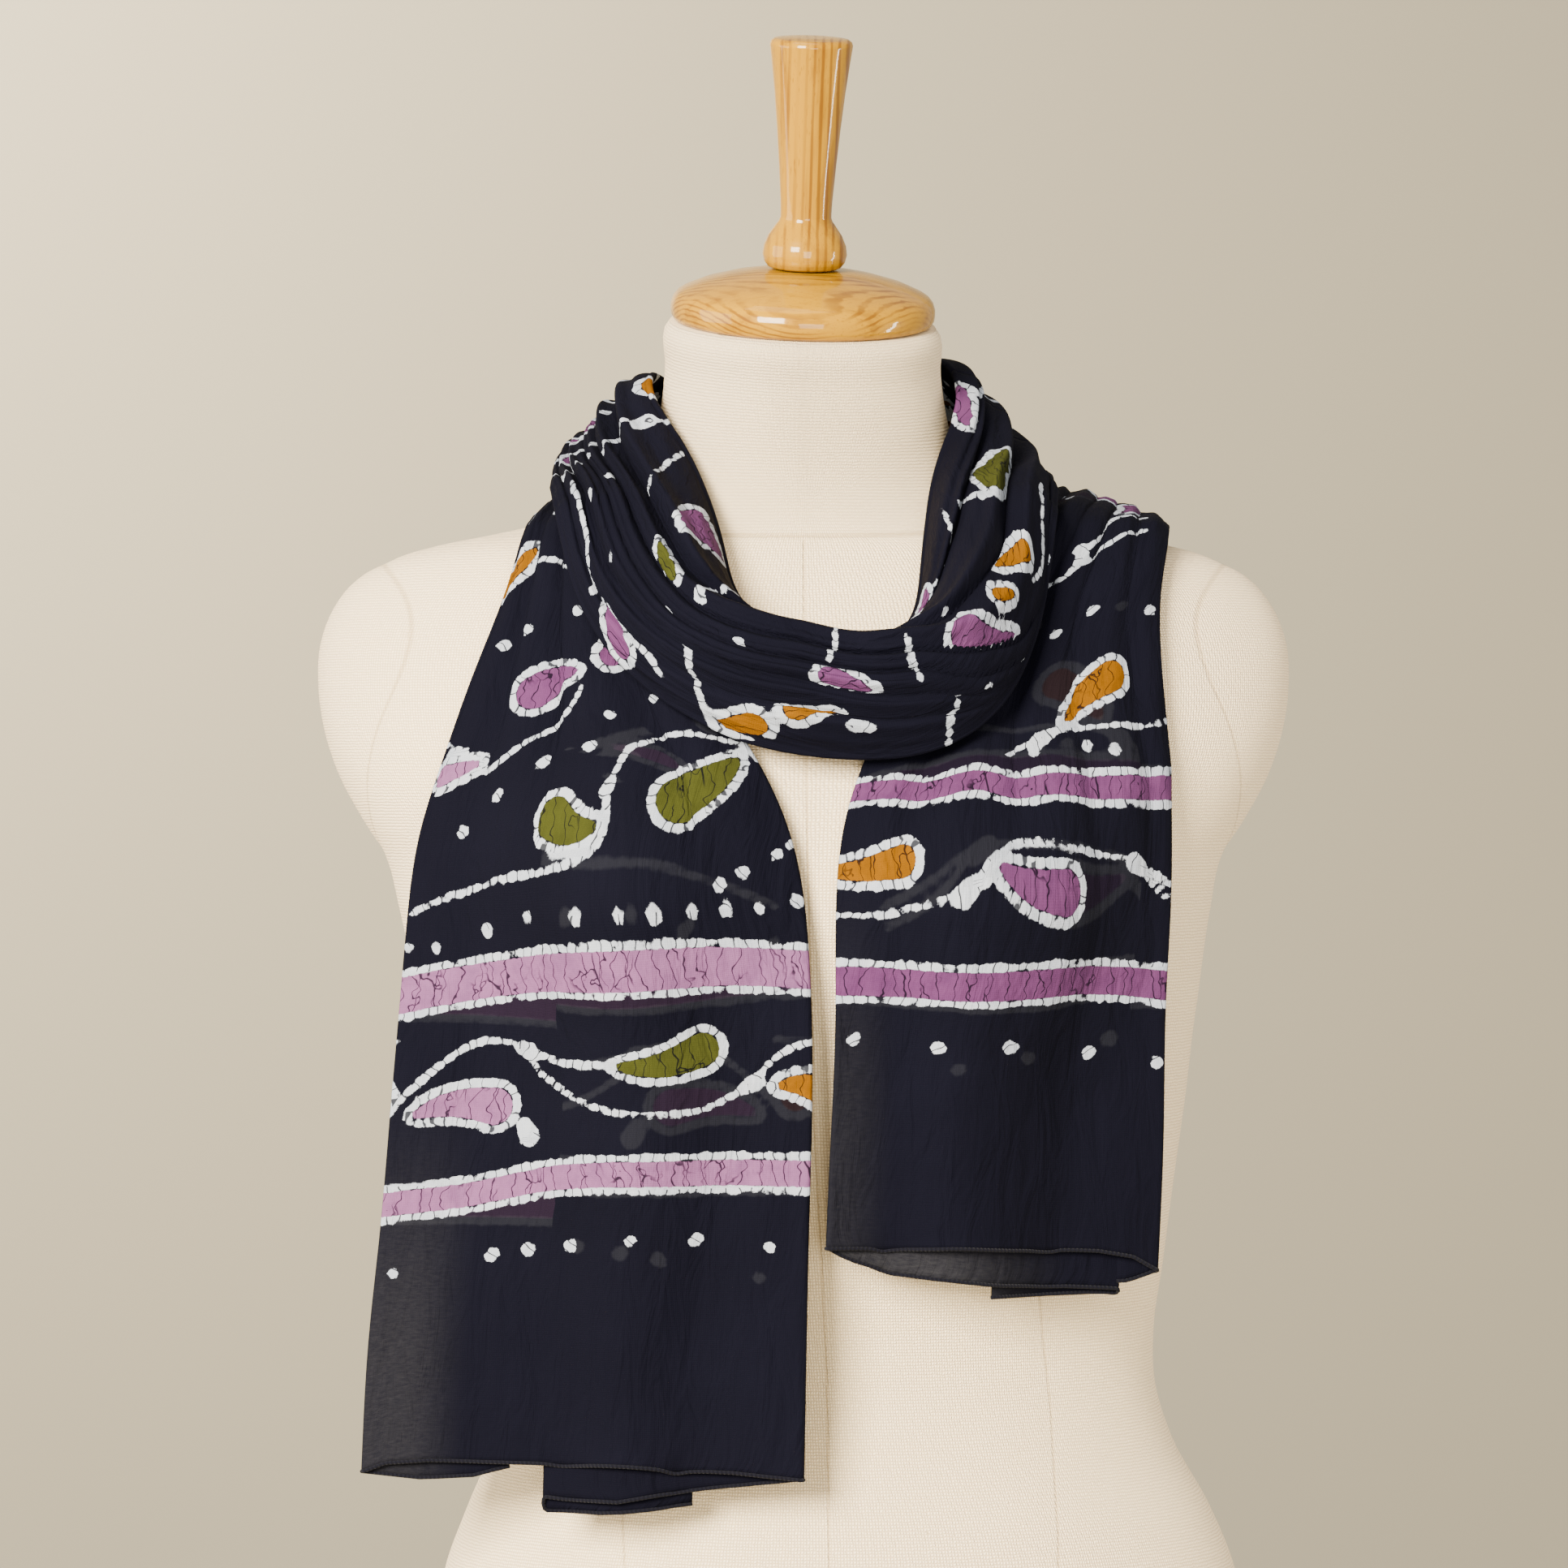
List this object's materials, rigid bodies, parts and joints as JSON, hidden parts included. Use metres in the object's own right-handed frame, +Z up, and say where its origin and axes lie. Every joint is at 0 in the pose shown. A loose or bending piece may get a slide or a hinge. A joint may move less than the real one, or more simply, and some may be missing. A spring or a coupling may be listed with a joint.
{
  "type": "stole on dress form",
  "caption": "Batik-printed cotton stole folded lengthwise and wound once round the neck of a limbless dress form with a turned wooden neck cap and finial, both tails hanging in front.",
  "frame": {"origin": "on the dress form's flat underside, straight below the middle of its shoulders", "axes": "+Z up, the front of the form faces -Y, the longer tail hangs on the -X side"},
  "size_m": [0.414, 0.2659, 0.7825],
  "materials": {
    "canvas": "cream twill cover, matt",
    "wood": "golden turned wood, glossy lacquer",
    "batik": "sheer navy plain-weave cotton with wax-resist leaves, vines, dots and bands, matt"
  },
  "bodies": {
    "root": {"form_torso": "canvas", "form_arm_cap_left": "canvas", "form_arm_cap_right": "canvas", "neck_cap": "wood", "finial": "wood", "tail_left": "batik", "tail_right": "batik", "loop_front": "batik", "wrap_outer": "batik", "wrap_inner": "batik"}
  },
  "joints": []
}
